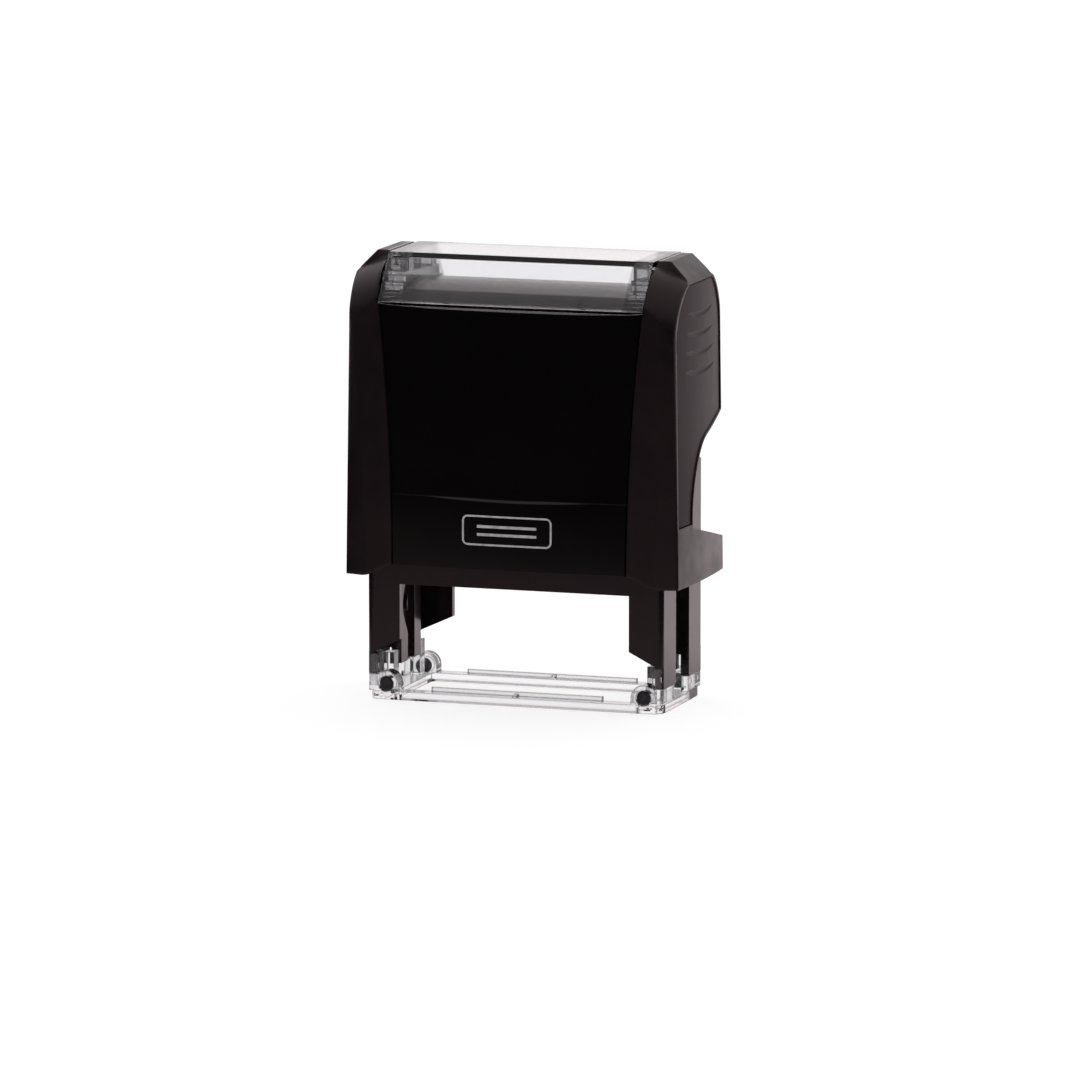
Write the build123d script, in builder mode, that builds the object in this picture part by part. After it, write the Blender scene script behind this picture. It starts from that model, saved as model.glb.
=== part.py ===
from build123d import *
import os
from math import cos, pi, sin

# A self-inking stamp, standing on its feet. Millimetres, +Z up, front towards -Y.
# The origin is at the middle of the footprint, on the floor.

os.makedirs("parts", exist_ok=True)

# ---------------------------------------------------------------- driving dimensions

TRAVEL = 18.0  # how far the cap is pressed

CAP_LENGTH = 57.0  # along X, at the bowed middle of the sides
CAP_DEPTH = 29.0  # along Y, at the bowed middle of the front
CAP_BOTTOM = 20.5
CAP_TOP = 72.5
CORNER_RADIUS = 0.8
PANEL_BOTTOM = 22.6  # the front and back panels end a little above the cheeks
CAVITY_X = 25.3
CAVITY_Y = 11.1
CHEEK_X = 22.66  # inner face of the two raised cheeks, at their top
GRIP_INNER_X = 26.8
GRIP_WALL_X = 26.0  # outer face of the cap wall behind a side grip

DECK_CREST = 68.1  # the dark deck under the clear cover
DECK_BEND = (9.0, 66.7)  # (Y, Z) of the crease between its crown and its front and back slopes
DECK_EDGE = 64.4
COVER_TOP = 72.46
ROOF_UNDERSIDE = 71.3
COVER_X = 22.3
LIP_BOTTOM = 64.55
LIP_TOP = 65.35
BLOCK_BOTTOM = 64.15
BLOCK_STEPS = ((11.1, 66.1), (9.7, 67.7), (8.2, 69.3), (6.8, 71.4))  # (reach in Y, top in Z) of each step

AXLE_RADIUS = 1.5

FRAME_X = 25.0
FRAME_Y = 10.8
FRAME_TOP = 39.2
FRAME_ROOF = 37.2  # underside of the frame's top plate
LEG_BOTTOM = 7.5
PLATE_BOTTOM = 5.0
SLOT_HALF = AXLE_RADIUS + 0.15
LOCK_DROP = 6.0  # how far the cap is pressed at the pad-changing place
FRAME_WALL = 1.2
PLATE_IN_X = 21.2  # the upright plates that guide the die's axle
PLATE_OUT_X = 22.9
CHANNEL_Y = 3.5
ARCH_TOP = 19.0

BASE_THICK = 1.4
PLUG_X = 21.8  # the dark round plugs in the base's corners
PLUG_Z = 2.5
PLUG_RADIUS = 1.25
PLUG_IN_Y = 8.5
PLUG_OUT_Y = 10.45
BOSS_RADIUS = 2.15
BOSS_IN_Y = 8.2
BOSS_OUT_Y = 10.6
OPENING_X = 20.3
OPENING_Y = 8.2

AXLE_Z = 23.5
GUIDE_ARM = 3.0  # guide pin's distance from the axle
GUIDE_RADIUS = 0.8
DIE_LENGTH = 38.0
DIE_WIDTH = 14.0
DIE_REACH = 5.4  # from the axle to the printing face

PAD_FACE = AXLE_Z + DIE_REACH + 0.3
TRAY_BOTTOM = 29.0
TRAY_TOP = 36.6
TRAY_X = 20.6

SPRING_RADIUS = 4.05
SPRING_WIRE = 0.9
SPRING_TURNS = 6.5
SPRING_SEAT = 65.6
WELL_BOTTOM = 61.2  # the cap's well that the spring's top end sits in
WELL_TOP = 66.2

LABEL_TOP = 34.1  # top of the raised label strip on the front panel
STRIP_BEVEL_Y = -13.9
PANEL_SINK = 0.35
GRIP_BOTTOM = 29.9
GRIP_TOP = 69.2
GRIP_GAP = 0.3  # how far the cap's pocket lies inside the cheek's outline
GRIP_PLAY = 0.15  # between a grip and its pocket
GROOVE_X = 28.45  # middle of the finger grooves' round section
GROOVE_RADIUS = 0.65
GROOVE_SAG = 0.5
GROOVE_PITCH = 3.1
PEG_Y = -8.3
PEG_Z = 41.0  # just above the frame while the cap is up
PEG_RADIUS = 0.8
PEG_TIP_X = 25.15
YOKE_PEG_X = 13.5
YOKE_BOTTOM = 57.8
YOKE_TOP = 59.5
ARM_HALF = 2.7

SIDES = {"right": 1, "left": -1}
ENDS = {"front": -1, "back": 1}


def finish(part, name):
    """Labels one finished piece and writes it under its node's name."""
    part.label = name
    export_step(part, f"parts/{name}.step")


def slab(x, y, z, mode=Mode.ADD):
    """A box from three (low, high) pairs, in the part that is open."""
    size = [high - low for low, high in (x, y, z)]
    middle = [(high + low) / 2 for low, high in (x, y, z)]
    with Locations(tuple(middle)):
        Box(*size, mode=mode)


def mirrored(side, low, high):
    """A (low, high) pair on the +X side, or its mirror image for side -1."""
    return (low, high) if side > 0 else (-high, -low)


def bowed_outline(corner_x, corner_y, mid_x, mid_y):
    """A rectangle whose sides bow outward, in the sketch that is open."""
    corners = [(-corner_x, -corner_y), (corner_x, -corner_y), (corner_x, corner_y), (-corner_x, corner_y)]
    middles = [(0, -mid_y), (mid_x, 0), (0, mid_y), (-mid_x, 0)]
    with BuildLine() as outline:
        for i, middle in enumerate(middles):
            start, end = corners[i], corners[(i + 1) % 4]
            if abs(middle[0]) == corner_x:
                Line(start, end)
            else:
                ThreePointArc(start, middle, end)
    make_face(outline.edges())


def shoulder_outline(half, start_z, bend, shoulder, top):
    """A cap end seen from the side: upright, a round shoulder, then a flat top. Each place is (Y, Z)."""
    with BuildLine() as outline:
        for y in (-1, 1):
            Line((y * half, CAP_BOTTOM - 1), (y * half, start_z))
            ThreePointArc((y * half, start_z), (y * bend[0], bend[1]), (y * shoulder[0], shoulder[1]))
            Line((y * shoulder[0], shoulder[1]), (y * top, CAP_TOP))
        Line((-top, CAP_TOP), (top, CAP_TOP))
        Line((-half, CAP_BOTTOM - 1), (half, CAP_BOTTOM - 1))
    make_face(outline.edges())


OUTER_SHOULDER = (11.9, 58.0, (10.5, 65.0), (6.1, 69.1), 5.3)
INNER_SHOULDER = (13.9, 62.5, (12.0, 68.7), (6.6, 72.3), 6.0)


def cutout_outline(mode=Mode.ADD, grow=0.0):
    """The finger cut-out low on the back of the cap, seen from the side, and larger by grow."""
    upper, lower = (16.0, 47.8 + grow), (16.0, 25.1)
    brow, bend, front = (2.4, 43.75 + grow), (-2.6 - grow, 39.4 + grow), (-5.1 - grow, 31.8)
    sill, corner, ledge = (-5.1 - grow, 30.4), (-4.9 - grow, 29.75), (-4.3 - grow, 29.4)
    with BuildLine() as outline:
        Line(upper, brow)
        Spline(brow, bend, front, tangents=[(-1, -0.3), (-0.1, -1)])
        Line(front, sill)
        ThreePointArc(sill, corner, ledge)
        Polyline(ledge, lower, upper)
    make_face(outline.edges(), mode=mode)


# ---------------------------------------------------------------- cap shell


def cap_loft(inset):
    """The cap's bowed and slightly tapered block, or one that lies further in by inset."""
    with BuildPart() as block:
        with BuildSketch(Plane.XY.offset(CAP_BOTTOM)) as low:
            bowed_outline(28.0 - inset, 12.6 - inset, CAP_LENGTH / 2 - inset, CAP_DEPTH / 2 - inset)
            fillet(low.vertices(), CORNER_RADIUS)
        with BuildSketch(Plane.XY.offset(CAP_TOP)) as high:
            bowed_outline(27.35 - inset, 12.2 - inset, 28.15 - inset, 14.1 - inset)
            fillet(high.vertices(), CORNER_RADIUS)
        loft(ruled=True)
    return block.part


with BuildPart() as cap_shoulders:
    for side in SIDES.values():
        with BuildSketch(Plane.YZ.offset(side * 21.0)):
            shoulder_outline(*INNER_SHOULDER)
        with BuildSketch(Plane.YZ.offset(side * 28.6)):
            shoulder_outline(*OUTER_SHOULDER)
        loft(ruled=True)
    slab((-21.0, 21.0), (-15, 15), (CAP_BOTTOM - 1, CAP_TOP))

with BuildPart() as cap_outside:
    add(cap_loft(0))
    add(cap_shoulders.part, mode=Mode.INTERSECT)
    # the sloping facet along the top of each cheek
    with BuildSketch(Plane.XZ.offset(-20)):
        for side in SIDES.values():
            with BuildLine():
                facet_end = (side * 27.3, 69.9)
                Line((side * 24.74, CAP_TOP), facet_end)
                ThreePointArc(facet_end, (side * 28.35, 68.2), (side * 29.0, 65.4))
                Polyline(
                    (side * 29.0, 65.4), (side * 30, 65.4), (side * 30, CAP_TOP + 1),
                    (side * 24.74, CAP_TOP + 1), (side * 24.74, CAP_TOP),
                )
            make_face()
    extrude(amount=40, mode=Mode.SUBTRACT)

# What the clear cover takes up: between the cheeks, and above the roof-shaped deck.
with BuildPart() as cover_space:
    with BuildSketch(Plane.XZ.offset(-20)):
        with BuildLine():
            Polyline(
                (-CHEEK_X, CAP_TOP + 1), (-22.3, DECK_EDGE - 2), (22.3, DECK_EDGE - 2),
                (CHEEK_X, CAP_TOP + 1), close=True,
            )
        make_face()
    extrude(amount=40)
    with BuildSketch(Plane.YZ.offset(-30)):
        with BuildLine():
            bend_y, bend_z = DECK_BEND
            Polyline((-bend_y, bend_z), (-13.0, DECK_EDGE), (-20, DECK_EDGE - 1.2), (-20, CAP_TOP + 2),
                     (20, CAP_TOP + 2), (20, DECK_EDGE - 1.2), (13.0, DECK_EDGE), (bend_y, bend_z))
            ThreePointArc((bend_y, bend_z), (0, DECK_CREST), (-bend_y, bend_z))
        make_face()
    extrude(amount=60, mode=Mode.INTERSECT)

with BuildPart() as cap_shell:
    add(cap_outside.part)
    add(cover_space.part, mode=Mode.SUBTRACT)
    # lowered ends of the deck, where the cover's end blocks sit
    for side in SIDES.values():
        slab(mirrored(side, 18.8, 22.2), (-11.5, 11.5), (DECK_EDGE - 0.4, CAP_TOP), mode=Mode.SUBTRACT)
        # and a slot down each slope
        for end in ENDS.values():
            x, y = mirrored(side, 10.9, 11.7), mirrored(end, 9.3, 12.9)
            slab(x, y, (DECK_EDGE + 0.6, CAP_TOP), mode=Mode.SUBTRACT)
    # the main cavity, and a roof-shaped hollow under the deck
    with BuildSketch(Plane.XY.offset(CAP_BOTTOM - 1)) as cavity_outline:
        bowed_outline(CAVITY_X, CAVITY_Y, CAVITY_X, 12.9)
        fillet(cavity_outline.vertices(), 0.8)
    extrude(amount=60.0 - CAP_BOTTOM + 1, mode=Mode.SUBTRACT)
    with BuildSketch(Plane.YZ.offset(-17.6)):
        with BuildLine():
            Polyline((-10.8, 59.0), (-10.8, 62.9), (0, 66.0), (10.8, 62.9), (10.8, 59.0), close=True)
        make_face()
    extrude(amount=35.2, mode=Mode.SUBTRACT)
    # a flat-topped well round the spring's top end, and two sockets for the yoke's pegs
    with BuildSketch(Plane.XY.offset(WELL_BOTTOM)):
        Circle(SPRING_RADIUS + 1.95)
    extrude(amount=WELL_TOP - WELL_BOTTOM)
    with BuildSketch(Plane.XY.offset(WELL_BOTTOM)):
        Circle(SPRING_RADIUS + 0.95)
    extrude(amount=SPRING_SEAT - WELL_BOTTOM, mode=Mode.SUBTRACT)
    with BuildSketch(Plane.XY.offset(YOKE_TOP + 0.1)):
        with Locations((-YOKE_PEG_X, 0), (YOKE_PEG_X, 0)):
            Circle(2.8)
            Circle(1.55, mode=Mode.SUBTRACT)
    extrude(amount=WELL_TOP - YOKE_TOP - 0.1)
    # the panels end above the cheeks, and sweep down to them
    with BuildSketch(Plane.XZ.offset(-20)):
        with BuildLine():
            for side in SIDES.values():
                inner, outer = (side * 18.6, PANEL_BOTTOM), (side * 25.0, CAP_BOTTOM)
                Spline(inner, outer, tangents=[(side, 0), (side, -0.1)])
                Line(outer, (side * 25.0, CAP_BOTTOM - 2))
            Line((-18.6, PANEL_BOTTOM), (18.6, PANEL_BOTTOM))
            Line((-25.0, CAP_BOTTOM - 2), (25.0, CAP_BOTTOM - 2))
        make_face()
    extrude(amount=40, mode=Mode.SUBTRACT)
    # the finger cut-out, right through both cheeks and the back
    with BuildSketch(Plane.YZ.offset(-30)):
        cutout_outline()
    extrude(amount=60, mode=Mode.SUBTRACT)
    # the tall window that the ink cassette slides out of
    slab((-21.6, 21.6), (9.0, 16.0), (26.0, 56.6), mode=Mode.SUBTRACT)

# The glossy front panel lies a little lower than the cheeks and the label strip under it.
with BuildPart() as sunk_panel:
    with BuildSketch(Plane.XZ.offset(10)):
        with BuildLine():
            right = Spline((20.0, LABEL_TOP), (20.9, 52.0), (22.2, DECK_EDGE + 1))
            left = Spline((-22.2, DECK_EDGE + 1), (-20.9, 52.0), (-20.0, LABEL_TOP))
            Line(right @ 1, left @ 0)
            Line(left @ 1, right @ 0)
        make_face()
    extrude(amount=8)
    add(cap_loft(PANEL_SINK), mode=Mode.SUBTRACT)

# A fine groove down each edge of the panel, between it and the cheeks.
with BuildPart() as panel_grooves:
    with BuildSketch(Plane.XZ.offset(10)):
        for side in SIDES.values():
            with BuildLine(mode=Mode.PRIVATE) as groove_line:
                Spline(
                    (side * 19.7, PANEL_BOTTOM - 1), (side * 19.8, 31.0),
                    (side * 20.9, 52.0), (side * 22.2, DECK_EDGE + 1),
                )
            trace(groove_line.line, line_width=0.28)
    extrude(amount=8)
    add(cap_loft(0.6), mode=Mode.SUBTRACT)


def grip_outline(inset):
    """A side grip seen from the side, in the sketch that is open: the cheek, less the cut-out."""
    half, start_z, bend, shoulder, top = OUTER_SHOULDER
    shoulder_outline(
        half - inset, start_z, (bend[0] - inset, bend[1]), (shoulder[0] - inset, shoulder[1]), top - inset
    )
    with Locations((0, (GRIP_BOTTOM + GRIP_TOP) / 2)):
        Rectangle(60, GRIP_TOP - GRIP_BOTTOM - 2 * inset, mode=Mode.INTERSECT)
    cutout_outline(Mode.SUBTRACT, grow=inset)


# Each grip lies in a pocket in its cheek, with a gap round it.
with BuildPart() as grip_pockets:
    for side in SIDES.values():
        with BuildSketch(Plane.YZ.offset(side * GRIP_WALL_X)):
            grip_outline(GRIP_GAP)
        extrude(amount=side * 5)

with BuildPart() as cap:
    add(cap_shell.part)
    add(sunk_panel.part, mode=Mode.SUBTRACT)
    add(panel_grooves.part, mode=Mode.SUBTRACT)
    add(grip_pockets.part, mode=Mode.SUBTRACT)
    # a slant along the label strip's top edge, broadest where the front bows out most
    with BuildSketch(Plane.YZ.offset(-19.5)):
        with BuildLine():
            corner = (STRIP_BEVEL_Y - 1, LABEL_TOP)
            Polyline((STRIP_BEVEL_Y, LABEL_TOP), (STRIP_BEVEL_Y - 1, LABEL_TOP - 1), corner, close=True)
        make_face()
    extrude(amount=39.0, mode=Mode.SUBTRACT)
    # holes that the grips' locking pegs pass through
    with BuildSketch(Plane.YZ.offset(-30)):
        with Locations((PEG_Y, PEG_Z)):
            Circle(PEG_RADIUS + 0.3)
    extrude(amount=60, mode=Mode.SUBTRACT)
finish(cap.part, "cap_shell")

# ---------------------------------------------------------------- side grips

for name, side in SIDES.items():
    with BuildPart() as grip:
        with BuildSketch(Plane.YZ.offset(side * GRIP_INNER_X)):
            grip_outline(GRIP_GAP + GRIP_PLAY)
        extrude(amount=side * 5)
        add(cap_loft(0.2), mode=Mode.INTERSECT)
        # four shallow finger grooves, curved like a smile
        for i in range(4):
            reach = 6.0 if i == 0 else 7.4
            z = 64.2 - GROOVE_PITCH * i
            with BuildLine(Plane.YZ.offset(side * GROOVE_X)) as smile:
                ThreePointArc((-reach, z), (0, z - GROOVE_SAG), (reach, z))
            with BuildSketch(Plane(smile.line @ 0, z_dir=smile.line % 0)):
                Circle(GROOVE_RADIUS)
            sweep(path=smile.line, mode=Mode.SUBTRACT)
        # the peg that locks the cap to the frame
        with BuildSketch(Plane.YZ.offset(side * PEG_TIP_X)):
            with Locations((PEG_Y, PEG_Z)):
                Circle(PEG_RADIUS)
        extrude(amount=side * (GRIP_INNER_X - PEG_TIP_X + 0.2))
    finish(grip.part, f"side_grip_{name}")

# ---------------------------------------------------------------- clear cover

# The cover stays just inside the cheeks and the front and back.
with BuildPart() as cover_limit:
    with BuildSketch(Plane.XZ.offset(-20)):
        with BuildLine():
            Polyline(
                (-CHEEK_X + 0.08, CAP_TOP + 1), (-22.1, DECK_EDGE - 4), (22.1, DECK_EDGE - 4),
                (CHEEK_X - 0.08, CAP_TOP + 1), close=True,
            )
        make_face()
    extrude(amount=40)
    add(cap_loft(0.1), mode=Mode.INTERSECT)

with BuildPart() as cover:
    # the roof: flat on top, with slopes down to thin upright lips along the front and back
    with BuildSketch(Plane.YZ.offset(-COVER_X)) as roof:
        with BuildLine():
            Polyline(
                (-14.3, LIP_BOTTOM), (-14.3, LIP_TOP), (-12.75, LIP_TOP), (-7.2, COVER_TOP),
                (7.2, COVER_TOP), (12.75, LIP_TOP), (14.3, LIP_TOP), (14.3, LIP_BOTTOM),
                (13.1, LIP_BOTTOM), (12.3, 65.05), (6.7, ROOF_UNDERSIDE), (-6.7, ROOF_UNDERSIDE),
                (-12.3, 65.05), (-13.1, LIP_BOTTOM), close=True,
            )
        make_face()
    extrude(amount=2 * COVER_X)
    # solid ends on the seats beside the deck, rising in steps behind the slopes
    for side in SIDES.values():
        step_bottom = BLOCK_BOTTOM
        for reach, step_top in BLOCK_STEPS:
            slab(mirrored(side, 18.95, 22.05), (-reach, reach), (step_bottom, step_top))
            step_bottom = step_top
        # a finger notch in the top of each end, and a small pocket in the front and back of its foot
        slab(mirrored(side, 18.0, 20.9), (-4.6, 4.6), (69.3, ROOF_UNDERSIDE), mode=Mode.SUBTRACT)
        for end in ENDS.values():
            x, y = mirrored(side, 20.2, 21.6), mirrored(end, 9.9, 12.0)
            slab(x, y, (BLOCK_BOTTOM + 0.3, BLOCK_BOTTOM + 1.4), mode=Mode.SUBTRACT)
    # the roof follows the cheeks' slight lean and the front's bow
    add(cover_limit.part, mode=Mode.INTERSECT)
finish(cover.part, "window_cover")

# ---------------------------------------------------------------- lower frame

with BuildPart() as frame:
    with BuildSketch(Plane.XY.offset(LEG_BOTTOM)) as frame_outline:
        Rectangle(2 * FRAME_X, 2 * FRAME_Y)
        fillet(frame_outline.vertices(), 1.2)
    extrude(amount=FRAME_TOP - LEG_BOTTOM)
    chamfer(frame.faces().sort_by(Axis.Z)[-1].edges(), 0.5)
    inner_y = FRAME_Y - FRAME_WALL
    slab((-PLATE_IN_X, PLATE_IN_X), (-inner_y, inner_y), (0, FRAME_ROOF), mode=Mode.SUBTRACT)
    for side in SIDES.values():
        # hollows between the guide plate, the outer strips and the front and back walls
        for end in ENDS.values():
            x, y = mirrored(side, PLATE_IN_X - 0.1, 23.6), mirrored(end, CHANNEL_Y + 1.3, inner_y)
            slab(x, y, (0, FRAME_ROOF), mode=Mode.SUBTRACT)
        # the channel that a drive arm runs in
        x = mirrored(side, PLATE_OUT_X, 30)
        slab(x, (-CHANNEL_Y, CHANNEL_Y), (0, FRAME_TOP + 1), mode=Mode.SUBTRACT)
    # arches through the front and back, with sloping feet
    for end, half_x, foot_z in ((-1, 19.4, 9.95), (1, 17.4, 10.6)):
        with BuildSketch(Plane.XZ.offset(-end * 9.0)) as arch:
            with BuildLine():
                Polyline(
                    (-24.2, LEG_BOTTOM - 2), (-24.2, LEG_BOTTOM), (-half_x, foot_z), (-half_x, ARCH_TOP),
                    (half_x, ARCH_TOP), (half_x, foot_z), (24.2, LEG_BOTTOM), (24.2, LEG_BOTTOM - 2),
                    close=True,
                )
            make_face()
            fillet(arch.vertices().filter_by(lambda v: v.Z > ARCH_TOP - 0.1), 1.0)
        extrude(amount=-end * 4, mode=Mode.SUBTRACT)
    for side in SIDES.values():
        for end in ENDS.values():
            # outer strips reach down beside the base's corner posts
            y = mirrored(end, CHANNEL_Y, 9.85)
            slab(mirrored(side, 23.6, FRAME_X), y, (4.0, LEG_BOTTOM + 0.5))
        slab(mirrored(side, PLATE_IN_X, PLATE_OUT_X), (-4.8, 4.8), (PLATE_BOTTOM, LEG_BOTTOM + 0.5))
        # a ledge that carries the ink cassette
        slab(mirrored(side, 20.0, 21.6), (-inner_y, inner_y), (27.7, 28.9))
        # the axle's slot, open at its foot
        with BuildSketch(Plane.YZ.offset(side * (PLATE_IN_X - 0.5))):
            slot_foot = PLATE_BOTTOM - 3
            with Locations((0, (AXLE_Z + slot_foot) / 2)):
                Rectangle(2 * SLOT_HALF, AXLE_Z - slot_foot)
            with Locations((0, AXLE_Z)):
                Circle(SLOT_HALF)
        extrude(amount=side * 3, mode=Mode.SUBTRACT)
        # the guide pin's groove: as the axle falls evenly the pin swings half a turn, in a C
        with BuildSketch(Plane.YZ.offset(side * (PLATE_IN_X - 0.5))):
            with BuildLine(mode=Mode.PRIVATE) as guide_path:
                Spline(*[
                    (-GUIDE_ARM * sin(turn), AXLE_Z - TRAVEL * turn / pi - GUIDE_ARM * cos(turn))
                    for turn in [pi * i / 12 for i in range(13)]
                ])
            trace(guide_path.line, line_width=2 * GUIDE_RADIUS + 0.3)
            for end in (-1, 1):
                with Locations((0, AXLE_Z - TRAVEL / 2 - end * (TRAVEL / 2 - GUIDE_ARM))):
                    Circle(GUIDE_RADIUS + 0.15)
        extrude(amount=side * 1.7, mode=Mode.SUBTRACT)
        # pockets for the side grip's peg: at the pad-changing place and fully pressed
        with BuildSketch(Plane.YZ.offset(side * (FRAME_X - 0.9))):
            with Locations(*[(PEG_Y, PEG_Z - drop) for drop in (LOCK_DROP, TRAVEL)]):
                Circle(PEG_RADIUS + 0.3)
        extrude(amount=side * 2, mode=Mode.SUBTRACT)
    # the mouth that the ink cassette slides out of
    slab((-21.0, 21.0), (FRAME_Y - 2, FRAME_Y + 1), (28.9, 37.0), mode=Mode.SUBTRACT)
    # a post that keeps the return spring in the middle
    with BuildSketch(Plane.XY.offset(FRAME_TOP)):
        Circle(2.9)
    extrude(amount=3.0)
    chamfer(frame.faces().sort_by(Axis.Z)[-1].edges(), 0.6)
finish(frame.part, "lower_frame")

# ---------------------------------------------------------------- clear base and its corner plugs

with BuildPart() as base:
    with BuildSketch() as base_outline:
        bowed_outline(24.75, 10.6, 24.95, FRAME_Y)
        fillet(base_outline.vertices(), 2.2)
        with BuildSketch(mode=Mode.PRIVATE) as base_opening:
            Rectangle(2 * OPENING_X, 2 * OPENING_Y)
            fillet(base_opening.vertices(), 1.0)
        add(base_opening.sketch, mode=Mode.SUBTRACT)
    extrude(amount=BASE_THICK)
    for end in ENDS.values():
        # a raised lip along the front and back edges, with a centre mark
        slab((-14.5, 14.5), mirrored(end, 8.7, 9.3), (BASE_THICK, BASE_THICK + 0.8))
        slab((-0.35, 0.35), mirrored(end, 9.3, 10.5), (BASE_THICK, BASE_THICK + 0.4))
        for side in SIDES.values():
            # the corner post, and the wall under the frame's outer strip
            slab(mirrored(side, 23.2, 24.7), mirrored(end, 9.95, 10.6), (BASE_THICK, LEG_BOTTOM - 0.1))
            slab(mirrored(side, 23.6, 24.8), mirrored(end, 3.8, 9.95), (BASE_THICK, 3.95))
            # a clip that stands up inside the frame's hollow
            slab(mirrored(side, 21.5, 23.2), mirrored(end, 5.2, 7.6), (BASE_THICK, 7.2))
            # an arched boss round each plug, and the plug's bore, open outward
            with BuildSketch(Plane.XZ.offset(-end * BOSS_IN_Y)):
                with Locations((side * PLUG_X, PLUG_Z / 2)):
                    Rectangle(2 * BOSS_RADIUS, PLUG_Z)
                with Locations((side * PLUG_X, PLUG_Z)):
                    Circle(BOSS_RADIUS)
            extrude(amount=-end * (BOSS_OUT_Y - BOSS_IN_Y))
            with BuildSketch(Plane.XZ.offset(-end * (PLUG_IN_Y - 0.02))):
                with Locations((side * PLUG_X, PLUG_Z)):
                    Circle(PLUG_RADIUS + 0.02)
            extrude(amount=-end * 3, mode=Mode.SUBTRACT)
finish(base.part, "clear_base")

for end_name, end in ENDS.items():
    for side_name, side in SIDES.items():
        with BuildPart() as plug:
            with BuildSketch(Plane.XZ.offset(-end * PLUG_IN_Y)):
                with Locations((side * PLUG_X, PLUG_Z)):
                    Circle(PLUG_RADIUS)
            extrude(amount=-end * (PLUG_OUT_Y - PLUG_IN_Y))
            outer_face = plug.faces().sort_by(Axis.Y)[-1 if end > 0 else 0]
            chamfer(outer_face.edges(), 0.25)
        finish(plug.part, f"corner_plug_{end_name}_{side_name}")

# ---------------------------------------------------------------- drive yoke and return spring

with BuildPart() as yoke:
    with BuildSketch(Plane.XY.offset(YOKE_BOTTOM)):
        Rectangle(49.6, 9.0)
        Circle(9.0)
        Circle(6.4, mode=Mode.SUBTRACT)
    extrude(amount=YOKE_TOP - YOKE_BOTTOM)
    with BuildSketch(Plane.XY.offset(YOKE_TOP)):
        with Locations((-YOKE_PEG_X, 0), (YOKE_PEG_X, 0)):
            Circle(1.5)
    extrude(amount=2.6)
    for side in SIDES.values():
        with BuildSketch(Plane.YZ.offset(side * 23.15)):
            with Locations((0, (AXLE_Z + YOKE_TOP) / 2)):
                Rectangle(2 * ARM_HALF, YOKE_TOP - AXLE_Z)
            with Locations((0, AXLE_Z)):
                Circle(ARM_HALF)
                Circle(AXLE_RADIUS + 0.05, mode=Mode.SUBTRACT)
        extrude(amount=side * 1.65)
    fillet(yoke.edges().filter_by(Axis.Y).filter_by(
        lambda edge: abs(edge.center().Z - YOKE_BOTTOM) < 0.1 and abs(abs(edge.center().X) - 23.15) < 0.1
    ), 0.8)
finish(yoke.part, "drive_yoke")

spring_bottom = FRAME_TOP + 0.05 + SPRING_WIRE / 2
spring_height = SPRING_SEAT - 0.05 - SPRING_WIRE / 2 - spring_bottom
with BuildPart() as spring:
    with BuildLine() as coil:
        Helix(spring_height / SPRING_TURNS, spring_height, SPRING_RADIUS, center=(0, 0, spring_bottom))
    with BuildSketch(Plane(coil.line @ 0, z_dir=coil.line % 0)):
        Circle(SPRING_WIRE / 2)
    sweep(path=coil.line, is_frenet=True)
finish(spring.part, "return_spring")

# ---------------------------------------------------------------- turning die

with BuildPart() as holder:
    slab((-20.9, 20.9), (-7.2, 7.2), (AXLE_Z + 1.4, AXLE_Z + 2.6))
    for side in SIDES.values():
        slab(mirrored(side, 19.9, 20.9), (-7.2, 7.2), (AXLE_Z - 1.6, AXLE_Z + 1.5))
        # a tab that carries the guide pin
        slab(mirrored(side, 19.9, 20.9), (-1.9, 1.9), (AXLE_Z - GUIDE_ARM - 1.5, AXLE_Z + 1.5))
        with BuildSketch(Plane.YZ.offset(side * 19.0)):
            with Locations((0, AXLE_Z)):
                Circle(AXLE_RADIUS + 1.0)
        extrude(amount=side * 1.9)
    for end in ENDS.values():
        slab((-20.0, 20.0), mirrored(end, 6.2, 7.2), (AXLE_Z - 1.6, AXLE_Z + 1.5))
    # stiffening ribs under the plate
    slab((-20.0, 20.0), (-0.5, 0.5), (AXLE_Z - 0.2, AXLE_Z + 1.5))
    for i in range(-2, 3):
        slab((7.0 * i - 0.4, 7.0 * i + 0.4), (-6.3, 6.3), (AXLE_Z - 0.8, AXLE_Z + 1.5))
    fillet(holder.edges().filter_by(Axis.X).filter_by(
        lambda edge: abs(edge.center().Y) > 7.1 and edge.center().Z < AXLE_Z
    ), 0.5)
    # bores for the axle and guide pins
    for side in SIDES.values():
        with BuildSketch(Plane.YZ.offset(side * 19.0)):
            with Locations((0, AXLE_Z)):
                Circle(AXLE_RADIUS + 0.01)
            with Locations((0, AXLE_Z - GUIDE_ARM)):
                Circle(GUIDE_RADIUS + 0.01)
        extrude(amount=side * 3, mode=Mode.SUBTRACT)
finish(holder.part, "die_holder")

for name, side in SIDES.items():
    with BuildPart() as axle_pin:
        with BuildSketch(Plane.YZ.offset(side * 19.05)):
            with Locations((0, AXLE_Z)):
                Circle(AXLE_RADIUS)
        extrude(amount=side * 5.6)
        chamfer(axle_pin.faces().sort_by(Axis.X)[-1 if side > 0 else 0].edges(), 0.3)
    finish(axle_pin.part, f"axle_pin_{name}")

    with BuildPart() as guide_pin:
        with BuildSketch(Plane.YZ.offset(side * 19.95)):
            with Locations((0, AXLE_Z - GUIDE_ARM)):
                Circle(GUIDE_RADIUS)
        extrude(amount=side * 2.2)
        chamfer(guide_pin.faces().sort_by(Axis.X)[-1 if side > 0 else 0].edges(), 0.2)
    finish(guide_pin.part, f"guide_pin_{name}")

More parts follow.
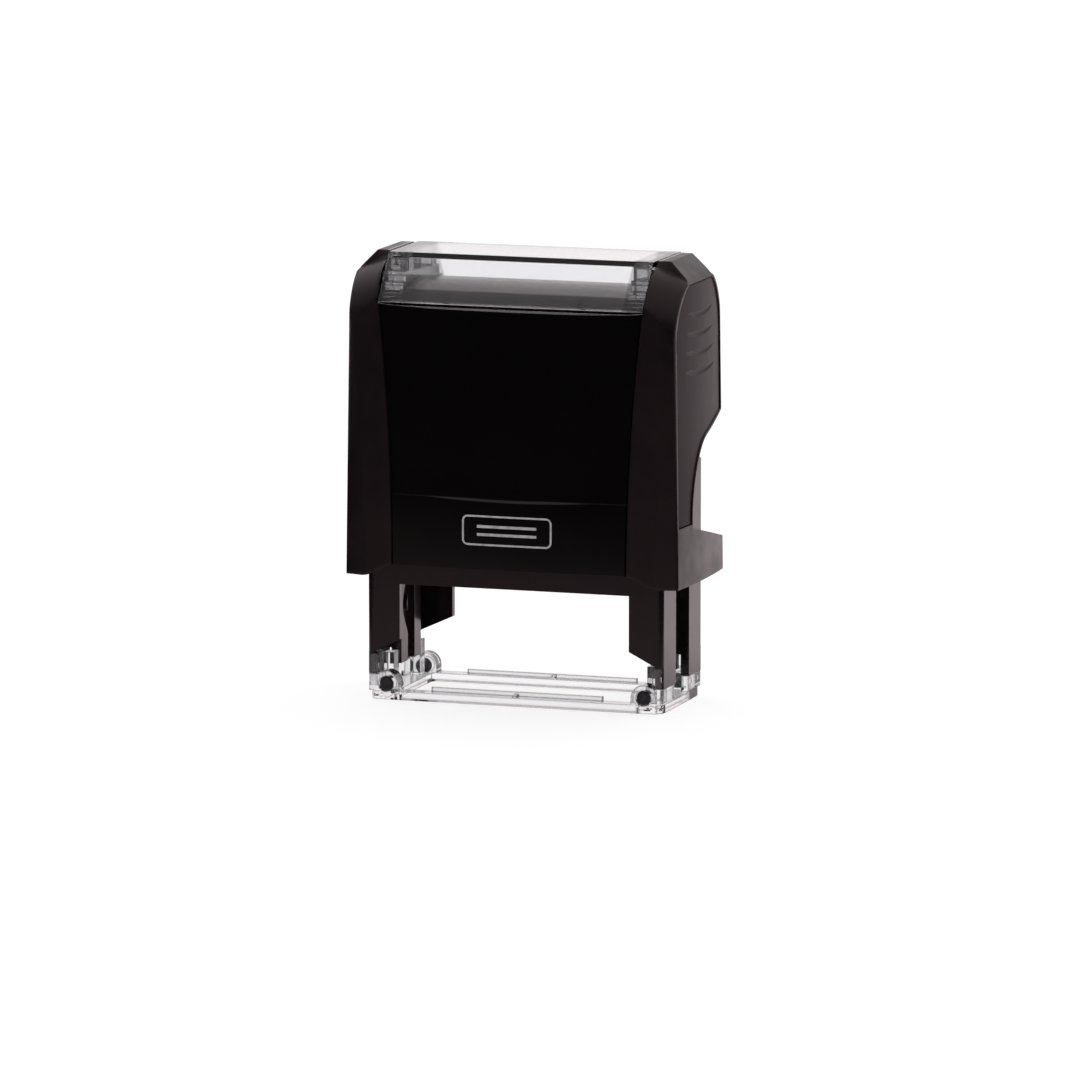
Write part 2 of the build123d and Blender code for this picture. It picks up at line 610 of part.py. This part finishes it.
with BuildPart() as cushion:
    slab((-19.2, 19.2), (-7.0, 7.0), (AXLE_Z + 2.6, AXLE_Z + 3.8))
finish(cushion.part, "die_cushion")

with BuildPart() as die:
    half_x, half_y, face = DIE_LENGTH / 2, DIE_WIDTH / 2, AXLE_Z + DIE_REACH
    slab((-half_x, half_x), (-half_y, half_y), (AXLE_Z + 3.8, face - 0.8))
    # a plain border and three bars stand for the imprint
    with BuildSketch(Plane.XY.offset(face - 0.9)):
        Rectangle(DIE_LENGTH - 1.2, DIE_WIDTH - 1.2)
        Rectangle(DIE_LENGTH - 2.8, DIE_WIDTH - 2.8, mode=Mode.SUBTRACT)
        with GridLocations(0, 3.2, 1, 3):
            Rectangle(28, 1.4)
    extrude(amount=0.9)
finish(die.part, "text_die")

# ---------------------------------------------------------------- ink cassette

with BuildPart() as tray:
    slab((-TRAY_X, TRAY_X), (-9.3, 10.9), (TRAY_BOTTOM, TRAY_TOP))
    slab((-19.6, 19.6), (-8.5, 8.5), (TRAY_BOTTOM - 1, TRAY_TOP - 1.4), mode=Mode.SUBTRACT)
    fillet(tray.edges().filter_by(Axis.Z).filter_by(lambda edge: abs(edge.center().X) > 20), 0.6)
    # grip lip at the back, ribbed for a thumb
    slab((-16.0, 16.0), (10.8, 12.6), (30.4, 35.6))
    fillet(tray.edges().filter_by(Axis.Z).filter_by(lambda edge: edge.center().Y > 12.5), 1.0)
    for i in range(3):
        z = 31.7 + 1.3 * i
        slab((-13.0, 13.0), (12.2, 13.0), (z - 0.25, z + 0.25), mode=Mode.SUBTRACT)
finish(tray.part, "pad_tray")

with BuildPart() as pad:
    slab((-19.5, 19.5), (-8.4, 8.4), (PAD_FACE, TRAY_TOP - 1.4))
finish(pad.part, "ink_pad")
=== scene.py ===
"""A self-inking stamp on a pale floor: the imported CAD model, with materials and fine detail."""
import math

import bpy
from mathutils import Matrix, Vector, noise
from mathutils.bvhtree import BVHTree


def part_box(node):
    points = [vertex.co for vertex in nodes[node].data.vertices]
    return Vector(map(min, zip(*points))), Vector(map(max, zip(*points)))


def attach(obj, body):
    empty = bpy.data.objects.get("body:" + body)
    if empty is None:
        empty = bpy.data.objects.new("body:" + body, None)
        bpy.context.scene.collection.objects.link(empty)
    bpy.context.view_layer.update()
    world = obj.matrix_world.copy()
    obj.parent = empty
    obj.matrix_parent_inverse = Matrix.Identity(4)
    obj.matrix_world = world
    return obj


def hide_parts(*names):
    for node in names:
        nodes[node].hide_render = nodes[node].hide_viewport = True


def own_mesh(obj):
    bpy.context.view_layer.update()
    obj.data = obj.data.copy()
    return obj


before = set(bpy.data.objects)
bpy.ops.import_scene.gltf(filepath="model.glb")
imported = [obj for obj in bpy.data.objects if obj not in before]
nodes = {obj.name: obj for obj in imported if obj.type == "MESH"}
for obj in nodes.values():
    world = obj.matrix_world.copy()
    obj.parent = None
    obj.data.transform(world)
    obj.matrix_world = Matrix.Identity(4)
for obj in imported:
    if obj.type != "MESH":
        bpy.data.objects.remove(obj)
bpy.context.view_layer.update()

MM = 0.001

# The cap's polished panels end at a groove on each side, which leans outward towards the top.
GROOVE_FOOT = 21.6 * MM  # height of its foot
GROOVE_X = 19.65 * MM  # its distance from the middle there
GROOVE_CURVE = 1.33  # it leans out by this times the square of the height above its foot
DECK_LOW = 63.8 * MM  # the deck under the clear cover starts at this height

COVER_BLOCK_X = 18.9 * MM  # the clear cover is thick from here outward, in its end blocks
BASE_PLATE_TOP = 1.6 * MM  # the clear base is thick from here up, in its posts and bosses

WARM_GLOSS = (1.0, 0.84, 0.87, 1)  # the black plastic's reflections lean to brown
FINE_GRAIN = 4200.0  # scale of a moulded skin's grain
MOST_NOISE = (0.3, 0.7)  # most of a noise texture's values lie between these


# ---------------------------------------------------------------- materials


def set_range(made, low, high, out_low, out_high):
    """Makes a Map Range node go smoothly from one pair of values to another, and hold beyond them."""
    made.interpolation_type = "SMOOTHSTEP"
    limits = {"From Min": low, "From Max": high, "To Min": out_low, "To Max": out_high}
    for socket, value in limits.items():
        made.inputs[socket].default_value = value


class Shader:
    """A material with one Principled shader, and short calls for the nodes that feed it."""

    def __init__(self, name, **sockets):
        self.material = bpy.data.materials.new(name)
        self.material.use_nodes = True
        self.tree = self.material.node_tree
        self.bsdf = self.tree.nodes["Principled BSDF"]
        for key, value in sockets.items():
            self.bsdf.inputs[key.replace("_", " ")].default_value = value

    def node(self, kind, **settings):
        made = self.tree.nodes.new(kind)
        for key, value in settings.items():
            socket = key.replace("_", " ")
            if socket in made.inputs:
                made.inputs[socket].default_value = value
            else:
                setattr(made, key, value)
        return made

    def link(self, source, target):
        self.tree.links.new(source, target)

    def feed(self, source, socket):
        self.link(source, self.bsdf.inputs[socket])

    def put(self, value, socket):
        """Sets a socket to a number, or links an output to it."""
        if isinstance(value, (int, float)):
            socket.default_value = value
        else:
            self.link(value, socket)

    def place(self):
        """The point on the object, in metres, in the frame at rest."""
        return self.node("ShaderNodeTexCoord").outputs["Object"]

    def axes(self):
        """The point's x, y and z."""
        split = self.node("ShaderNodeSeparateXYZ")
        self.link(self.place(), split.inputs[0])
        return split.outputs

    def stretched(self, x, y, z):
        """The point, scaled along each axis."""
        made = self.node("ShaderNodeMapping")
        made.inputs["Scale"].default_value = (x, y, z)
        self.link(self.place(), made.inputs["Vector"])
        return made.outputs["Vector"]

    def math(self, operation, *terms):
        """One sum on numbers or outputs."""
        made = self.node("ShaderNodeMath", operation=operation)
        for term, socket in zip(terms, made.inputs):
            self.put(term, socket)
        return made.outputs[0]

    def between(self, source, low, high, out_low=0.0, out_high=1.0):
        """Maps low..high to out_low..out_high, smoothly, and holds it beyond."""
        made = self.node("ShaderNodeMapRange")
        self.link(source, made.inputs["Value"])
        set_range(made, low, high, out_low, out_high)
        return made.outputs["Result"]

    def noise(self, scale, detail=2.0, roughness=0.5, vector=None):
        made = self.node("ShaderNodeTexNoise", Scale=scale, Detail=detail, Roughness=roughness)
        self.link(vector or self.place(), made.inputs["Vector"])
        return made.outputs["Fac"]

    def ramp(self, source, stops):
        """Maps a value through (position, colour) stops."""
        made = self.node("ShaderNodeValToRGB")
        ramp = made.color_ramp
        while len(ramp.elements) < len(stops):
            ramp.elements.new(0.5)
        for element, (position, colour) in zip(ramp.elements, stops):
            element.position = position
            element.color = (*colour, 1)
        self.link(source, made.inputs["Fac"])
        return made.outputs["Color"]

    def mix(self, factor, first, second):
        """A colour between two, by a factor from 0 to 1."""
        made = self.node("ShaderNodeMix", data_type="RGBA")
        self.link(factor, made.inputs["Factor"])
        # the sockets for colours come after those for numbers and vectors, under the same names
        self.link(first, made.inputs[6])
        self.link(second, made.inputs[7])
        return made.outputs[2]

    def bump(self, height, strength, distance, normal=None):
        made = self.node("ShaderNodeBump", Strength=strength, Distance=distance)
        self.link(height, made.inputs["Height"])
        if normal is not None:
            self.link(normal, made.inputs["Normal"])
        return made.outputs["Normal"]

    def soft_edges(self, radius):
        """A normal that rounds sharp edges over a small radius, one number or an output."""
        made = self.node("ShaderNodeBevel", samples=4)
        self.put(radius, made.inputs["Radius"])
        return made.outputs["Normal"]


def shade(colour, factor):
    return tuple(channel * factor for channel in colour)


def moulded(name, colour, rough, flow=0.15, depth=0.006 * MM, edge=0.22 * MM, **sockets):
    """Moulded plastic: a faint flow unevenness in tone and gloss, a fine grain and soft edges."""
    s = Shader(name, **sockets)
    stops = [(0.35, shade(colour, 1 - flow)), (0.65, shade(colour, 1 + flow))]
    s.feed(s.ramp(s.noise(120.0, 3.0), stops), "Base Color")
    uneven = s.between(s.noise(300.0, 4.0), *MOST_NOISE, rough * (1 - flow), rough * (1 + flow))
    s.feed(uneven, "Roughness")
    s.feed(s.bump(s.noise(FINE_GRAIN, 3.0), 0.5, depth, s.soft_edges(edge)), "Normal")
    return s.material


def cap_plastic():
    """One moulding with two finishes: polished panels between the grooves, satin cheeks outside."""
    s = Shader("cap_black", IOR=1.5, Specular_Tint=WARM_GLOSS)
    x, _, z = s.axes()
    above = s.math("SUBTRACT", z, GROOVE_FOOT)
    lean = s.math("MULTIPLY", s.math("MULTIPLY", above, above), GROOVE_CURVE)
    past_groove = s.math("SUBTRACT", s.math("ABSOLUTE", x), s.math("ADD", lean, GROOVE_X))
    cheek = s.between(past_groove, -0.05 * MM, 0.10 * MM)

    flow = s.noise(90.0, 3.0)
    polished = s.ramp(flow, [(0.35, (0.0009, 0.0008, 0.0009)), (0.65, (0.0014, 0.0013, 0.0013))])
    satin = s.ramp(flow, [(0.35, (0.0058, 0.0032, 0.0039)), (0.65, (0.0078, 0.0046, 0.0053))])
    s.feed(s.mix(cheek, polished, satin), "Base Color")

    wisps = s.between(s.noise(40.0, 4.0, vector=s.stretched(1.0, 1.0, 3.0)), 0.4, 0.7, 0.10, 0.15)
    satin_gloss = s.between(s.noise(300.0, 4.0), *MOST_NOISE, 0.17, 0.25)
    gloss = s.math("ADD", s.math("MULTIPLY", cheek, satin_gloss), wisps)
    deck = s.between(z, DECK_LOW, DECK_LOW + 0.4 * MM, 0.0, 0.06)  # the deck is satin too
    s.feed(s.math("ADD", gloss, deck), "Roughness")

    grain = s.math("MULTIPLY", s.noise(FINE_GRAIN, 3.0), cheek)
    edge = s.math("ADD", s.math("MULTIPLY", cheek, 0.6 * MM), 0.1 * MM)
    s.feed(s.bump(grain, 0.45, 0.005 * MM, s.soft_edges(edge)), "Normal")
    return s.material


def clear_plastic(name, axis, thick_from, thick_shade):
    """Clear moulded plastic with a breath of haze in its gloss, and painted shade in its colour: darker
    along its edges, and where it is thick.

    It is thick where the place along the axis, on either side of the middle, is over thick_from.
    """
    s = Shader(name, IOR=1.49, Transmission_Weight=1.0)
    # painted shade: the colour darkens to near black where the rounded-edge normal turns away from the
    # face, along every edge
    turned = s.node("ShaderNodeVectorMath", operation="DOT_PRODUCT")
    s.link(s.soft_edges(0.45 * MM), turned.inputs[0])
    s.link(s.node("ShaderNodeNewGeometry").outputs["True Normal"], turned.inputs[1])
    stops = [(0.80, (0.05, 0.04, 0.05)), (0.985, (0.94, 0.94, 0.95))]
    place = s.math("ABSOLUTE", s.axes()[axis])
    tone = s.node("ShaderNodeVectorMath", operation="SCALE")
    s.link(s.ramp(turned.outputs["Value"], stops), tone.inputs[0])
    # painted shade: the colour is scaled darker where the plastic is thick
    thick = s.between(place, thick_from - 0.1 * MM, thick_from, 1.0, thick_shade)
    s.link(thick, tone.inputs["Scale"])
    s.feed(tone.outputs[0], "Base Color")
    s.feed(s.between(s.noise(220.0, 4.0), 0.3, 0.8, 0.010, 0.022), "Roughness")
    s.feed(s.bump(s.noise(150.0, 2.0), 0.06, 0.03 * MM, s.soft_edges(0.12 * MM)), "Normal")
    return s.material


def drawn_wire():
    """Spring steel, with fine drawing lines and a trace of oil."""
    s = Shader("spring_steel", Metallic=1.0)
    stops = [(0.35, (0.38, 0.37, 0.36)), (0.7, (0.62, 0.62, 0.62))]
    s.feed(s.ramp(s.noise(500.0, 4.0), stops), "Base Color")
    s.feed(s.between(s.noise(900.0, 3.0), *MOST_NOISE, 0.2, 0.38), "Roughness")
    s.feed(s.bump(s.noise(5000.0, 2.0), 0.3, 0.004 * MM), "Normal")
    return s.material


def turned_steel():
    """A ground pin, with fine turning marks along X."""
    s = Shader("pin_steel", Metallic=1.0)
    lines = s.noise(2000.0, 2.0, vector=s.stretched(6.0, 0.3, 0.3))
    s.feed(s.ramp(lines, [(0.3, (0.50, 0.50, 0.51)), (0.7, (0.68, 0.68, 0.69))]), "Base Color")
    s.feed(s.between(lines, *MOST_NOISE, 0.18, 0.32), "Roughness")
    s.feed(s.bump(lines, 0.25, 0.003 * MM, s.soft_edges(0.12 * MM)), "Normal")
    return s.material


def foam_rubber():
    """Grey sponge, pitted with small cells, with painted shade darkening each pit."""
    s = Shader("foam", Roughness=0.92)
    cells = s.node("ShaderNodeTexVoronoi", Scale=2600.0, feature="F1").outputs["Distance"]
    # painted shade: the colour darkens towards each cell's middle, where the pit is deepest
    s.feed(s.ramp(cells, [(0.0, (0.05, 0.05, 0.05)), (0.6, (0.27, 0.26, 0.25))]), "Base Color")
    s.feed(s.bump(cells, 0.8, 0.12 * MM), "Normal")
    return s.material


def stained_rubber():
    """The text plate: dull red-brown rubber, wet with ink on its raised face, engraved below."""
    s = Shader("die_rubber", Specular_IOR_Level=0.4)
    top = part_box("text_die")[1][2]
    face = s.between(s.axes()[2], top - 0.5 * MM, top - 0.05 * MM)
    patch = s.between(s.noise(700.0, 5.0, 0.6), 0.38, 0.55)
    ink = s.math("MULTIPLY", face, s.math("ADD", s.math("MULTIPLY", patch, 0.4), 0.6))
    stops = [(0.0, (0.16, 0.035, 0.028)), (0.5, (0.14, 0.008, 0.010)), (1.0, (0.22, 0.003, 0.008))]
    s.feed(s.ramp(ink, stops), "Base Color")
    s.feed(s.between(ink, 0.3, 1.0, 0.75, 0.28), "Roughness")
    lines = s.noise(1500.0, 2.0, vector=s.stretched(0.15, 4.0, 1.0))
    s.feed(s.bump(lines, 0.5, 0.03 * MM, s.soft_edges(0.1 * MM)), "Normal")
    return s.material


def ink_felt():
    """Felt soaked with red ink: matted fibres, darker where it is wettest."""
    s = Shader("ink_felt", Sheen_Weight=0.25, Roughness=0.85)
    fibres = s.noise(2600.0, 5.0, 0.65, vector=s.stretched(1.0, 2.2, 1.0))
    wet = s.noise(160.0, 3.0)
    tone = s.math("ADD", s.math("MULTIPLY", fibres, 0.55), s.math("MULTIPLY", wet, 0.45))
    stops = [(0.35, (0.09, 0.001, 0.004)), (0.5, (0.30, 0.004, 0.010)), (0.66, (0.55, 0.018, 0.026))]
    s.feed(s.ramp(tone, stops), "Base Color")
    s.feed(s.bump(fibres, 0.9, 0.12 * MM), "Normal")
    return s.material


def foil_print():
    """Pale silver ink, a little uneven."""
    s = Shader("foil_print", Metallic=0.35)
    stops = [(0.35, (0.50, 0.50, 0.51)), (0.6, (0.70, 0.70, 0.71))]
    s.feed(s.ramp(s.noise(900.0, 4.0), stops), "Base Color")
    s.feed(s.between(s.noise(1500.0, 3.0), *MOST_NOISE, 0.32, 0.5), "Roughness")
    return s.material


def soft_plug():
    """A dark, slightly dusty soft plug."""
    s = Shader("plug_rubber")
    dust = s.noise(1400.0, 4.0, 0.6)
    stops = [(0.45, (0.008, 0.007, 0.0075)), (0.75, (0.035, 0.031, 0.033))]
    s.feed(s.ramp(dust, stops), "Base Color")
    s.feed(s.between(dust, 0.4, 0.7, 0.35, 0.6), "Roughness")
    s.feed(s.bump(s.noise(3000.0, 3.0), 0.5, 0.01 * MM, s.soft_edges(0.12 * MM)), "Normal")
    return s.material


def grip_plastic():
    """The side grips' satin plastic, nearly even in tone."""
    return moulded(
        "grip_black", (0.0130, 0.0050, 0.0072), 0.33, flow=0.04, depth=0.009 * MM, edge=0.2 * MM,
        Specular_IOR_Level=0.05, Specular_Tint=WARM_GLOSS,
    )


def frame_plastic():
    """The lower frame's smooth black plastic."""
    colour = (0.0068, 0.0040, 0.0047)
    return moulded("frame_black", colour, 0.20, edge=0.2 * MM, Specular_Tint=WARM_GLOSS)


finishes = [
    (cap_plastic(), ["cap_shell"]),
    (grip_plastic(), ["side_grip_left", "side_grip_right"]),
    (frame_plastic(), ["lower_frame"]),
    (moulded("yoke_black", (0.0080, 0.0070, 0.0074), 0.32), ["drive_yoke"]),
    (moulded("holder_grey", (0.055, 0.055, 0.060), 0.40), ["die_holder"]),
    (moulded("tray_black", (0.011, 0.010, 0.011), 0.36), ["pad_tray"]),
    # the two clear parts carry painted shade in their colour, along their edges and in their thick parts
    (clear_plastic("clear_cover", 0, COVER_BLOCK_X, 0.62), ["window_cover"]),
    (clear_plastic("clear_feet", 2, BASE_PLATE_TOP, 0.86), ["clear_base"]),
    (turned_steel(), [f"{kind}_pin_{side}" for kind in ("axle", "guide") for side in ("left", "right")]),
    (soft_plug(), [f"corner_plug_{end}_{side}" for end in ("front", "back") for side in ("left", "right")]),
    (stained_rubber(), ["text_die"]),
]
for material, names in finishes:
    for name in names:
        mesh = nodes[name].data
        mesh.materials.clear()
        mesh.materials.append(material)


# ---------------------------------------------------------------- pieces made here


def new_piece(name, points, faces, material, body, smooth=True):
    """A mesh piece that rides on a CAD body."""
    mesh = bpy.data.meshes.new(name)
    mesh.from_pydata(points, [], faces)
    mesh.validate()
    if smooth:
        mesh.shade_smooth()
    mesh.materials.append(material)
    made = bpy.data.objects.new(name, mesh)
    bpy.context.collection.objects.link(made)
    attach(made, body)
    return made


def tube(path, radius, sides):
    """Points and faces of a round closed tube along a path, with flat ends."""
    points, faces = [], []
    for i, here in enumerate(path):
        along = (path[min(i + 1, len(path) - 1)] - path[max(i - 1, 0)]).normalized()
        outward = Vector((here.x, here.y, 0)).normalized()
        outward = (outward - along * outward.dot(along)).normalized()
        side = along.cross(outward)
        for k in range(sides):
            turn = 2 * math.pi * k / sides
            points.append(here + outward * radius * math.cos(turn) + side * radius * math.sin(turn))
    for i in range(len(path) - 1):
        for k in range(sides):
            a, b = i * sides + k, i * sides + (k + 1) % sides
            faces.append((a, b, b + sides, a + sides))
    faces.append(tuple(reversed(range(sides))))
    last = (len(path) - 1) * sides
    faces.append(tuple(last + k for k in range(sides)))
    return points, faces


def coil_spring():
    """The return spring, with closed end turns that lie flat."""
    low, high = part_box("return_spring")
    wire = 0.45 * MM  # the wire's radius
    radius = (high[0] - low[0]) / 2 - wire
    steps, turns, closed = 32, 8, 1.0  # steps in a turn, turns in all, and closed turns at each end
    closed_rise = 2 * wire * 1.03  # a closed turn rises by the wire's thickness, and a hair more
    start, end = low[2] + wire, high[2] - wire
    open_rise = end - start - 2 * closed_rise
    path = []
    for i in range(steps * turns + 1):
        turned = i / steps
        opened = min(max((turned - closed) / (turns - 2 * closed), 0.0), 1.0)
        wound = min(turned, closed) / closed + max(turned - turns + closed, 0.0) / closed
        height = start + wound * closed_rise + open_rise * opened
        angle = 2 * math.pi * turned
        path.append(Vector((radius * math.cos(angle), radius * math.sin(angle), height)))
    points, faces = tube(path, wire, sides=12)
    spring = new_piece("coil_spring", points, faces, drawn_wire(), "base_frame")
    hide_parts("return_spring")
    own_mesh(spring)


def soft_block(name, node, cell, radius, pit_depth, grain, material, body):
    """A soft slab in a CAD solid's place: a fine rounded lattice, its skin pitted inward by noise."""
    low, high = (Vector(corner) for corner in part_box(node))
    count = [max(2, round((high[i] - low[i]) / cell)) for i in range(3)]
    inner_low = low + Vector((radius, radius, radius))
    inner_high = high - Vector((radius, radius, radius))
    finer = 2.7  # the second noise's scale, next to the first's
    index, points, faces = {}, [], []

    def corner(key):
        if key not in index:
            flat = Vector([low[i] + (high[i] - low[i]) * key[i] / count[i] for i in range(3)])
            core = Vector([min(max(flat[i], inner_low[i]), inner_high[i]) for i in range(3)])
            outward = (flat - core).normalized()
            pit = 0.5 + 0.5 * noise.noise(flat * grain) + 0.3 * noise.noise(flat * grain * finer)
            index[key] = len(points)
            points.append(core + outward * (radius - pit_depth * min(max(pit, 0.0), 1.0)))
        return index[key]

    for axis in range(3):
        u, v = (axis + 1) % 3, (axis + 2) % 3
        for level in (0, count[axis]):
            for i in range(count[u]):
                for j in range(count[v]):
                    keys = []
                    for du, dv in ((0, 0), (1, 0), (1, 1), (0, 1)):
                        key = [0, 0, 0]
                        key[axis], key[u], key[v] = level, i + du, j + dv
                        keys.append(corner(tuple(key)))
                    faces.append(tuple(keys if level else reversed(keys)))
    made = new_piece(name, points, faces, material, body)
    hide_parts(node)
    return made


def plain_mark():
    """A plain mark printed on the label strip: an empty round-cornered frame with two bars in it."""
    surface = BVHTree.FromObject(nodes["cap_shell"], bpy.context.evaluated_depsgraph_get())
    middle_z = 29.0 * MM
    print_height = 0.02 * MM
    half_x, half_z, corner = 7.4 * MM, 2.3 * MM, 0.8 * MM  # the frame's outline
    bar_reach, bar_rise = 5.0 * MM, 0.65 * MM  # from the mark's middle
    points, faces = [], []

    def front(x, z):
        """The bowed front's y, met by a ray from well ahead of it."""
        return surface.ray_cast(Vector((x, -50 * MM, z)), Vector((0, 1, 0)))[0].y

    def ribbon(line, width, closed):
        """A thin raised strip along a line of (x, z), on the bowed front."""
        count = len(line)
        start = len(points)
        for i, here in enumerate(line):
            before = line[(i - 1) % count] if closed or i else here
            after = line[(i + 1) % count] if closed or i < count - 1 else here
            along = (Vector(after) - Vector(before)).normalized()
            across = Vector((-along.y, along.x)) * width / 2
            for edge in (1, -1):
                x, z = here[0] + edge * across.x, here[1] + edge * across.y
                y = front(x, z)
                points.append((x, y - print_height, z))
                points.append((x, y + print_height, z))
        around = ((0, 2), (2, 3), (3, 1), (1, 0))
        for i in range(count if closed else count - 1):
            here, after = start + 4 * i, start + 4 * ((i + 1) % count)
            for a, b in around:
                faces.append((here + a, here + b, after + b, after + a))
        if not closed:
            last = start + 4 * (count - 1)
            faces.append((start, start + 1, start + 3, start + 2))
            faces.append((last, last + 2, last + 3, last + 1))

    corner_steps, side_steps, half_bar_steps = 6, 8, 5
    outline = []
    for x_sign, z_sign, first in ((1, 1, 0), (-1, 1, 90), (-1, -1, 180), (1, -1, 270)):
        for step in range(corner_steps + 1):
            angle = math.radians(first + 90 * step / corner_steps)
            outline.append((
                x_sign * (half_x - corner) + corner * math.cos(angle),
                middle_z + z_sign * (half_z - corner) + corner * math.sin(angle),
            ))
        # points along the straight side, so that it follows the bow
        if z_sign * x_sign > 0:
            for step in range(1, side_steps):
                x = x_sign * (half_x - corner) * (1 - 2 * step / side_steps)
                outline.append((x, middle_z + z_sign * half_z))
    ribbon(outline, 0.3 * MM, True)
    bar = [-bar_reach + bar_reach * i / half_bar_steps for i in range(2 * half_bar_steps + 1)]
    for z in (middle_z + bar_rise, middle_z - bar_rise):
        ribbon([(x, z) for x in bar], 0.45 * MM, False)
    new_piece("plain_mark", points, faces, foil_print(), "cap", smooth=False)


coil_spring()
soft_block(
        "felt_pad", "ink_pad", cell=0.5 * MM, radius=0.5 * MM, pit_depth=0.09 * MM, grain=1600.0,
        material=ink_felt(), body="cassette",
    )
soft_block(
        "die_foam", "die_cushion", cell=0.3 * MM, radius=0.2 * MM, pit_depth=0.10 * MM, grain=2600.0,
        material=foam_rubber(), body="die",
    )
plain_mark()


# ---------------------------------------------------------------- stage

FLOOR_HALF = 6.0
CARD_X = 85 * MM
CARD_FRONT, CARD_BACK, CARD_HEIGHT = -120 * MM, 90 * MM, 30 * MM


def stage_piece(name, corners, paint):
    """A flat sheet that isn't part of the object."""
    mesh = bpy.data.meshes.new(name)
    mesh.from_pydata(corners, [], [(0, 1, 2, 3)])
    mesh.materials.append(paint.material)
    made = bpy.data.objects.new(name, mesh)
    bpy.context.collection.objects.link(made)
    return made


def square_at(height):
    """The corners of a level square round the origin."""
    return [(x * FLOOR_HALF, y * FLOOR_HALF, height) for x, y in ((-1, -1), (1, -1), (1, 1), (-1, 1))]


floor_paint = Shader(
    "floor_paint", Base_Color=(0.45, 0.45, 0.45, 1), Roughness=0.9, Specular_IOR_Level=0.0,
    Emission_Color=(1, 1, 1, 1), Emission_Strength=0.8,
)
stage_piece("floor", square_at(-0.05 * MM), floor_paint).visible_glossy = False

# Under the floor lies what the gloss surfaces mirror: white close by and behind, dark out in front.
mirror_paint = Shader(
    "mirror_paint", Base_Color=(0, 0, 0, 1), Roughness=1.0, Specular_IOR_Level=0.0,
    Emission_Color=(1, 0.90, 0.92, 1),
)
back_by = mirror_paint.axes()[1]
front_fall = mirror_paint.between(back_by, -240 * MM, -100 * MM, 0.03, 0.36)
behind = mirror_paint.between(back_by, -30 * MM, 80 * MM, 0.0, 0.75)
mirror_paint.feed(mirror_paint.math("ADD", front_fall, behind), "Emission Strength")
stage_piece("mirrored_floor", square_at(-2 * MM), mirror_paint)

# Two low dark cards beside the object, seen only in and through the clear parts' edges.
card_paint = Shader(
    "card_paint", Base_Color=(0.004, 0.004, 0.004, 1), Roughness=1.0, Specular_IOR_Level=0.0,
)
card_outline = [(CARD_FRONT, 0), (CARD_BACK, 0), (CARD_BACK, CARD_HEIGHT), (CARD_FRONT, CARD_HEIGHT)]
for name, x in (("card_left", -CARD_X), ("card_right", CARD_X)):
    card = stage_piece(name, [(x, y, z) for y, z in card_outline], card_paint)
    card.visible_camera = card.visible_diffuse = card.visible_shadow = False

world = bpy.data.worlds.new("studio")
bpy.context.scene.world = world
world.use_nodes = True
sky = world.node_tree
towards = sky.nodes.new("ShaderNodeSeparateXYZ")
sky.links.new(sky.nodes.new("ShaderNodeTexCoord").outputs["Generated"], towards.inputs[0])


def sky_part(axis, low, high, value_low, value_high):
    """Brightness by how far a direction points along one axis."""
    made = sky.nodes.new("ShaderNodeMapRange")
    sky.links.new(towards.outputs[axis], made.inputs["Value"])
    set_range(made, low, high, value_low, value_high)
    return made.outputs["Result"]


brighter = sky.nodes.new("ShaderNodeMath")
brighter.operation = "MAXIMUM"
sky.links.new(sky_part("Y", -0.30, 0.45, 0.03, 0.95), brighter.inputs[0])  # dim in front, bright behind
sky.links.new(sky_part("Z", 0.30, 0.75, 0.0, 0.5), brighter.inputs[1])  # half as bright overhead
background = sky.nodes["Background"]
sky.links.new(brighter.outputs[0], background.inputs["Strength"])
background.inputs["Color"].default_value = (1, 0.95, 0.955, 1)

CAMERA_DISTANCE = 1.5
azimuth, elevation = math.radians(18.42), math.radians(8.89)
target = Vector((0.344 * MM, 0, 26.04 * MM))
back = Vector((
    math.sin(azimuth) * math.cos(elevation), -math.cos(azimuth) * math.cos(elevation), math.sin(elevation)
))
camera_data = bpy.data.cameras.new("camera")
camera_data.sensor_width = 36
camera_data.lens = 311.4972  # in mm, as the sensor's width is
camera_data.clip_start = 50 * MM
camera = bpy.data.objects.new("camera", camera_data)
bpy.context.collection.objects.link(camera)
camera.location = target + back * CAMERA_DISTANCE
camera.rotation_euler = back.to_track_quat("Z", "Y").to_euler()
bpy.context.scene.camera = camera
bpy.context.scene.view_settings.view_transform = "Standard"
